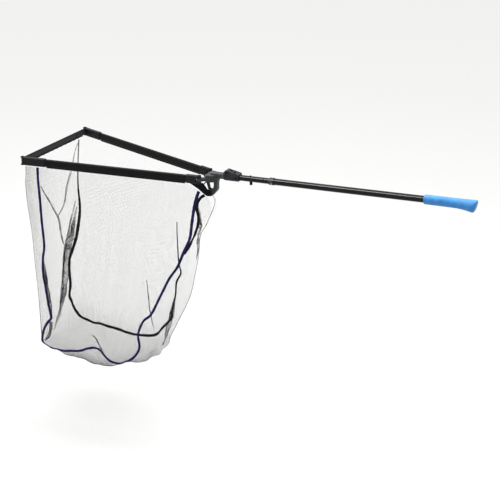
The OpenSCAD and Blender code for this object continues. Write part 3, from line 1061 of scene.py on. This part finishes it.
@dataclass
class MouthStrap:
    """The webbing across the mouth's front: one loop, sewn round both tip pins.

    All its sizes are in millimetres, from the hub.
    """

    x: float = -605.1
    pin_y: float = 171.4
    height: float = 21.2
    thick: float = 1.5
    loop: float = 3.9
    overlap: float = 52.0
    tail: tuple[float, float] = (30.0, 12.0)  # where the webbing's tail lies, back from the pin
    reach: float = 110.0  # how far from the pin it runs straight
    edge_end: float = 14.0  # the edge, the welt and their seams end this far short of the pins
    samples: int = 90
    edge_size: tuple[float, float] = (3.2, 1.8)
    edge_sink: float = 0.7  # how far its middle lies below the webbing's top
    welt_size: tuple[float, float] = (3.4, 4.6)
    welt_drop: float = 1.6  # how far its middle hangs below the webbing's foot
    welt_share: float = 0.985  # it is this much shorter than the edge
    welt_wave: tuple[float, float] = (0.5, 0.9)  # how far it rides up and down, and how often
    box_inset: tuple[float, float] = (3.0, 3.0)  # from the tail's end, and from the webbing's edges
    box_end: float = 18.0  # from the pin
    seam_inset: tuple[float, float] = (2.2, 3.2)  # the long rows, from the webbing's foot and top
    proud: tuple[float, float] = (0.25, 0.2)  # how far stitches stand off, on the inner and outer face
    box_stitch: float = 2.8
    edge_stitch: float = 3.2
    thread: float = 0.8  # a real thread is 0.4 mm; drawn coarser so that it shows
    folded_share: float = 0.14  # it gathers between the arms, so it closes up further than the net

    def line(self) -> Points:
        """The webbing's middle line, once round both pins."""
        gap = self.thick / 2 + 0.05
        points = []
        for end in (-1, 1):
            turn = [(self.x + self.loop * math.cos(a), end * (self.pin_y + self.loop * math.sin(a)))
                    for a in np.radians(np.linspace(-30, 210, 13))]  # fmt: skip
            back = [(self.x + gap, end * (self.pin_y - d)) for d in (self.overlap, *self.tail)]
            front = [(self.x - gap, end * (self.pin_y - d))
                     for d in (*self.tail[::-1], self.overlap, self.reach)]  # fmt: skip
            part = back + turn + front
            points += part if end < 0 else part[::-1]
        return np.array([(x, y, 0.0) for x, y in points])

    def across(self, x: float, z: float) -> Points:
        """A straight line from pin to pin, at one depth and height."""
        reach = self.pin_y - self.edge_end
        span = np.linspace(-reach, reach, self.samples)
        return np.stack([np.full(self.samples, x), span, np.full(self.samples, z)], 1)

    def box_seams(self) -> list[Object]:
        """The sewn box with its cross, by each pin."""
        (inset, margin), (inner, _) = self.box_inset, self.proud
        face, top = self.x + self.thick + inner, self.height / 2 - margin
        out = np.tile([1.0, 0.0, 0.0], (40, 1))
        rows = []
        for end in (-1, 1):
            sides = end * (self.pin_y - self.overlap + inset), end * (self.pin_y - self.box_end)
            corners = [(face, side, height) for side in sides for height in (-top, top)]
            for a, b in combinations(corners, 2):
                line = hub_points(np.linspace(a, b, len(out)))
                rows.append(stitches("box_row", line, out, self.box_stitch, self.thread))
        return rows

    def edge_seams(self) -> list[Object]:
        """The two rows that run the length of the webbing's outer face."""
        out = np.tile([-1.0, 0.0, 0.0], (self.samples, 1))
        (foot, top), half = self.seam_inset, self.height / 2
        face = self.x - self.thick - self.proud[1]
        lines = [self.across(face, height) for height in (-half + foot, half - top)]
        return [stitches("edge_row", hub_points(line), out, self.edge_stitch, self.thread) for line in lines]

    def build(self) -> list[Object]:
        """The strap, its darker top edge, its sewn boxes and the welt under it."""
        line = smooth_path(self.line(), 2.5)
        out = unit(np.cross(np.gradient(line, axis=0), [0, 0, 1.0]))
        profile = oval(self.height, self.thick, 20, square=0.35)
        strap = sweep("mouth_strap", hub_points(line), out, profile)
        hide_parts("front_strap")
        soft_on_head(strap, WEBBING)
        up = np.tile([0.0, 0.0, 1.0], (self.samples, 1))
        edge = self.across(self.x, self.height / 2 - self.edge_sink)
        piping = sweep("mouth_strap_edge", hub_points(edge), up, oval(*self.edge_size, 10))
        soft_on_head(piping, BLACK_TAPE)
        low = edge * [1, self.welt_share, 0] + [0, 0, -self.height / 2 - self.welt_drop]
        size, turn = self.welt_wave
        low[:, 2] += size * np.sin(np.arange(self.samples) * turn)
        welt = sweep("mouth_strap_welt", hub_points(low), up, oval(*self.welt_size, 12, 0.8))
        soft_on_head(welt, BLACK_TAPE)
        seam = joined("mouth_strap_stitching", self.box_seams() + self.edge_seams())
        soft_on_head(seam, THREAD)
        return [strap, piping, welt, seam]


@dataclass
class Welt:
    """The corded edge under one arm that the net hangs from, and its lacing.

    All its sizes are in millimetres.
    """

    side: Side
    pivot: tuple[float, float] = (-28.0, 35.0)  # where the arm's line starts, from the hub
    start: float = 44.5
    end: float = 511.5
    middle: float = -14.85
    size: tuple[float, float] = (3.1, 5.3)
    pitch: float = 13.0  # from one turn of the lacing to the next
    coil: tuple[float, float] = (1.95, 2.75)  # how far the lacing stands off, across and up
    ceiling: float = -12.5  # the arm's underside, where the lacing lies flat
    cord: float = 1.0
    samples: int = 230
    turn_cuts: int = 14  # points in one turn of the lacing
    pinch: float = 0.1  # how much narrower the welt is where the lacing grips it
    lacing_end: float = 2.0  # the lacing ends this far short of the welt

    def at(self, u: Points, v: Points, z: Points) -> Points:
        """Points by the arm: u along it, v across it and z up, in millimetres."""
        s, (x, y) = self.side.value, self.pivot
        ahead = np.array([-math.cos(SPLAY), s * math.sin(SPLAY), 0])
        across = np.array([-s * math.sin(SPLAY), -math.cos(SPLAY), 0])
        base = np.array([x, y * s, 0.0])
        return hub_points(base + np.outer(u, ahead) + np.outer(v, across) + np.outer(z, [0, 0, 1]))

    def build(self) -> list[Object]:
        """The welt and the cord wound round it."""
        label = self.side.label
        u = np.linspace(self.start, self.end, self.samples)
        zero = np.zeros(len(u))
        width = 1 - self.pinch * np.abs(np.cos(math.pi * (u - self.start) / self.pitch))
        up = np.tile([0.0, 0.0, 1.0], (len(u), 1))
        line = self.at(u, zero, zero + self.middle)
        welt = sweep(f"{label}_welt", line, up, oval(*self.size, 14, 0.8), width)
        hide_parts(f"{label}_hem")
        dress(welt, BLACK_TAPE, self.side.body)
        turns = (self.end - self.start) / self.pitch
        a = np.linspace(0, 2 * math.pi * turns, int(turns * self.turn_cuts))
        u = np.linspace(self.start + self.lacing_end, self.end - self.lacing_end, len(a))
        out, rise = self.coil
        place = self.at(u, out * np.sin(a), np.minimum(self.middle + rise * np.cos(a), self.ceiling))
        outward = place - self.at(u, np.zeros(len(a)), np.full(len(a), self.middle))
        lacing = sweep(f"{label}_lacing", place, outward, oval(self.cord, self.cord, 6, 1.0))
        dress(lacing, THREAD, self.side.body)
        return [welt, lacing]


@dataclass
class RearBand:
    """The band that carries the net's rear edge from the arms to the guard's foot.

    Its edges are in millimetres from the hub, on the near side. Its section is
    half of its girth, as shares of its width and of half its thickness.
    """

    low_edge: tuple = ((-55.5, -42.4, -15.4), (-36, -27.7, -34.6), (-15.5, -12.0, -58.3), (1.0, -9.4, -58.0))
    top_edge: tuple = ((-23.6, -18.3, -15.4), (-17.0, -13.6, -27.0), (-10.8, -9.4, -38.0), (1.0, -9.4, -38.2))
    section: tuple = ((0, 0.5), (0.03, 1), (0.12, 0.7), (0.5, 1), (0.88, 0.7), (0.97, 1), (1, 0.5))
    thick: float = 2.0
    samples: int = 46
    seams: tuple[float, float] = (0.08, 0.92)
    stitch: float = 3.0
    thread: float = 0.7
    proud: float = 0.1  # how far its stitches stand off its face
    cloth_size: float = 0.08  # metres of cloth each way in its UV map

    def edges(self, side: Side) -> tuple[Points, Points]:
        """The band's lower and upper edges on one side."""
        pick, flip = np.linspace(0, 1, self.samples), np.array([1.0, -float(side.value), 1.0])
        lines = [smooth_path(np.array(edge, float), 1.0) for edge in (self.low_edge, self.top_edge)]
        low, top = (at_length(line, np.linspace(0, 1, len(line)), pick) * flip for line in lines)
        return low, top

    def build(self) -> list[Object]:
        """The band on both sides, with its stitched edges."""
        made = []
        for side in Side:
            low, top = self.edges(side)
            out = unit(np.cross(np.gradient((low + top) / 2, axis=0), top - low))
            inner = [(share, -lift) for share, lift in self.section]
            ring = [low + (top - low) * share + out * lift * self.thick / 2
                    for share, lift in (*inner, *self.section[::-1])]  # fmt: skip
            along, girth = (np.linspace(0, self.cloth_size, n) for n in (self.samples, len(ring) + 1))
            rows, uv = hub_points(np.stack(ring, 1)), closed_uv(along, girth)
            band = grid(f"{side.label}_rear_band", rows, uv, capped=True)
            made.append(soft_on_head(band, BAND_TAPE))
            face = out if (out[0, 1] > 0) == (side.value > 0) else -out
            lines = [low + (top - low) * share + face * (self.thick / 2 + self.proud) for share in self.seams]
            seams = [stitches("band_row", hub_points(line), face, self.stitch, self.thread) for line in lines]
            seam = joined(f"{side.label}_rear_band_stitching", seams)
            made.append(soft_on_head(seam, THREAD))
        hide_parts("rear_band")
        return made


# ---------------------------------------------------------------- the grip


@dataclass
class Grip:
    """The foam grip: a sleeve on the pole that swells down to a slanted butt.

    Each row is a station along the pole, a radius, a drop and a slant, all
    in millimetres. The bore's rows have neither drop nor slant.
    """

    bore: tuple = (
        # the blind bore that the pole is glued into, from its end to the mouth
        (827.4, 5.0), (827.4, 9.6), (827.4, 10.2), (826.8, 10.2), (820, 10.2), (690, 10.2), (685.4, 10.2),
        (684.6, 10.3),
    )  # fmt: skip
    outside: tuple = (
        (684.6, 10.9, 0.0, 0.0), (684.6, 12.6, 0.0, 0.0), (685.2, 13.6, 0.0, 0.0), (687.5, 14.0, 0.0, 0.0),
        (705, 14.0, 0.0, 0.0), (730, 14.1, 0.1, 0.0), (755, 14.1, 0.2, 0.2), (775, 14.2, 0.3, 0.8),
        (792, 14.8, 0.9, 1.4), (806, 16.0, 1.9, 2.2), (817, 17.3, 2.9, 3.0), (824, 18.2, 3.4, 3.6),
        (828.5, 18.2, 3.6, 4.0), (831.0, 16.6, 3.7, 4.2), (831.8, 13.0, 3.7, 4.3), (832.0, 6.0, 3.7, 4.4),
        (832.1, 1.5, 3.7, 4.4),
    )  # fmt: skip
    slant_radius: float = 16.0  # the radius at which a row's slant is measured
    around: int = 56
    cloth_size: tuple[float, float] = (0.15, 0.09)  # metres along and round it in its UV map

    def ring(self, station: float, radius: float, drop: float = 0.0, slant: float = 0.0) -> list[Points]:
        """One row of points round the pole."""
        points = []
        for angle in np.arange(self.around) / self.around * 2 * math.pi:
            side, lift = radius * math.cos(angle), radius * math.sin(angle)
            points.append(pole_point(station + slant * lift / self.slant_radius, side, lift - drop))
        return points

    def build(self) -> Object:
        """The grip as one smooth closed-cell shape."""
        rows = np.array([self.ring(*row) for row in (*self.bore, *self.outside)])
        along = np.linspace(0, self.cloth_size[0], len(rows))
        girth = np.linspace(0, self.cloth_size[1], self.around + 1)
        grip = grid("foam_grip", rows, closed_uv(along, girth), capped=True)
        soften = grip.modifiers.new("round", "SUBSURF")
        soften.levels = soften.render_levels = 1
        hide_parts("grip")
        dress(grip, EVA_FOAM, "handle")
        return grip


# ---------------------------------------------------------------- the studio


@dataclass(frozen=True)
class Softbox:
    """A rectangular light: where it stands, what it faces, its size and its watts."""

    name: str
    place: tuple[float, float, float]
    aim: tuple[float, float, float]
    size: tuple[float, float]
    power: float

    def build(self) -> Object:
        """The light in the scene."""
        data = bpy.data.lights.new(self.name, "AREA")
        data.shape, data.energy = "RECTANGLE", self.power
        data.size, data.size_y = self.size
        light = placed(self.name, data)
        light.location = self.place
        light.rotation_euler = (Vector(self.aim) - Vector(self.place)).to_track_quat("-Z", "Y").to_euler()
        return light


@dataclass
class Studio:
    """A plain pale floor, soft light and the camera."""

    distance: float = 3.5
    towards_camera: tuple[float, float, float] = (0.459717, -0.812547, 0.358368)
    roll: float = math.radians(0.23)
    sensor: float = 36.0
    lens: float = 81.36
    shift: tuple[float, float] = (0.075, -0.1444)
    glow: float = 0.94
    drop: float = 0.25  # the floor stands this far below the net
    floor_size: float = 60.0
    everywhere: tuple[Softbox, ...] = (
        Softbox("key", (-1.6, -2.2, 2.6), (-0.7, 0, -0.1), (1.6, 1.0), 9.0),
        Softbox("strip", (-0.9, 0.75, 2.2), (-0.6, 0, 0), (3.8, 0.3), 30.0),
    )
    above: Softbox = Softbox("above", (-0.9, 0.5, 2.3), (-0.5, 0, 0), (3.8, 0.7), 150.0)
    streak: Softbox = Softbox("streak", (-1.9, -1.05, 2.2), (-1.75, 0, -0.1), (2.6, 0.6), 210.0)
    tubes: tuple[str, ...] = ("outer_pole", "inner_pole", "pole_collar")
    hub: tuple[str, ...] = (
        "hinge_housing", "hinge_knuckle", "yoke", "latch_button", "near_arm_cap", "near_tip", "far_tip",
        "near_arm", "far_arm",
    )  # fmt: skip

    def camera(self) -> None:
        """Stands the camera and makes it the scene's."""
        data = bpy.data.cameras.new("camera")
        data.sensor_width, data.lens = self.sensor, self.lens
        data.shift_x, data.shift_y = self.shift
        camera = placed("camera", data)
        back = Vector(self.towards_camera).normalized()
        camera.location = Vector(HUB) + back * self.distance
        turn = (-back).to_track_quat("-Z", "Y").to_matrix() @ Matrix.Rotation(self.roll, 3, "Z")
        camera.rotation_euler = turn.to_euler()
        bpy.context.scene.camera = camera

    def light(self) -> None:
        """Even white light from all round, and softboxes for the highlights."""
        world = bpy.data.worlds.new("studio")
        bpy.context.scene.world = world
        world.use_nodes = True
        world.node_tree.nodes.clear()
        glow = add(world.node_tree, "Background", {"Color": (1, 1, 1, 1), "Strength": self.glow})
        add(world.node_tree, "OutputWorld", {"Surface": glow})
        for softbox in self.everywhere:
            softbox.build()
        bpy.context.scene.view_settings.view_transform = "Standard"

    def accents(self, grip: Object) -> None:
        """Two more softboxes, each lighting a few pieces only.

        Args:
            grip: the foam grip, which is lit from above with the hub.
        """
        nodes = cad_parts
        hub, tubes = [nodes[name] for name in self.hub], [nodes[name] for name in self.tubes]
        for softbox, pieces in ((self.above, [*hub, grip]), (self.streak, tubes)):
            lit = bpy.data.collections.new(f"{softbox.name}_lights")
            for piece in pieces:
                lit.objects.link(piece)
            softbox.build().light_linking.receiver_collection = lit

    def floor(self) -> None:
        """A matt white sheet under the net, far larger than the view."""
        place = (0, 0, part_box("bag_floor")[0][2] - self.drop)
        bpy.ops.mesh.primitive_grid_add(
            x_subdivisions=4, y_subdivisions=4, size=self.floor_size, location=place
        )
        floor = bpy.context.object
        floor.name = "studio_floor"
        dress(floor, MouldedNylon("white studio paper", "f6f6f5", "f9f9f8", 0.9, specular=0.1))


# ---------------------------------------------------------------- main


CAD_FINISHES = (
    (POLE_LACQUER, Slot.POLE, ("outer_pole", "inner_pole")),
    (HOUSING_NYLON, Slot.COLLAR, ("pole_collar",)),
    (CAP_NYLON, Slot.COLLAR, ("inner_plug",)),
    (PLUG_RUBBER, Slot.GRIP, ("butt_plug",)),
    (STEEL, Slot.STEEL, ("collar_rivet", "clip_spring", "latch_spring")),
    (BLACKED_STEEL, Slot.STEEL, ("snap_button", "clip_rivet", "housing_rivet", "fold_pin", "foot_rivet")),
    (BLACKED_STEEL, Slot.STEEL, ("near_pivot_rivet", "far_pivot_rivet", "near_tip_pin", "far_tip_pin")),
    (HOUSING_NYLON, Slot.HUB, ("hinge_housing", "latch_button")),
    (HUB_NYLON, Slot.HUB, ("hinge_knuckle", "yoke")),
    (BAND_STEEL, Slot.BAND, ("knuckle_band",)),
    (CAP_NYLON, Slot.CAP, ("near_arm_cap", "far_arm_cap", "near_tip", "far_tip")),
    (NEAR_ANODISE, Slot.ARM, ("near_arm",)),
    (FAR_ANODISE, Slot.ARM, ("far_arm",)),
)


def main() -> None:
    """Builds every sub-assembly in order."""
    logging.basicConfig(level=logging.INFO, format="%(name)s: %(message)s")
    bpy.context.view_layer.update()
    studio = Studio()
    studio.camera()
    studio.light()
    studio.floor()
    for finish, slot, nodes in CAD_FINISHES:
        for node in nodes:
            dress(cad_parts[node], finish, None)
            LOG.info("dressed %s in %s", node, finish.name)
    bag = NetBag().build()
    trim = BagTrim(bag).build()
    grip = Grip().build()
    studio.accents(grip)
    made = [bag, *trim, *MouthStrap().build(), *RearBand().build(), grip]
    for side in Side:
        made += Welt(side).build()
    for piece in made:
        LOG.info("built %s, %d vertices", piece.name, len(piece.data.vertices))


if __name__ == "__main__":
    main()
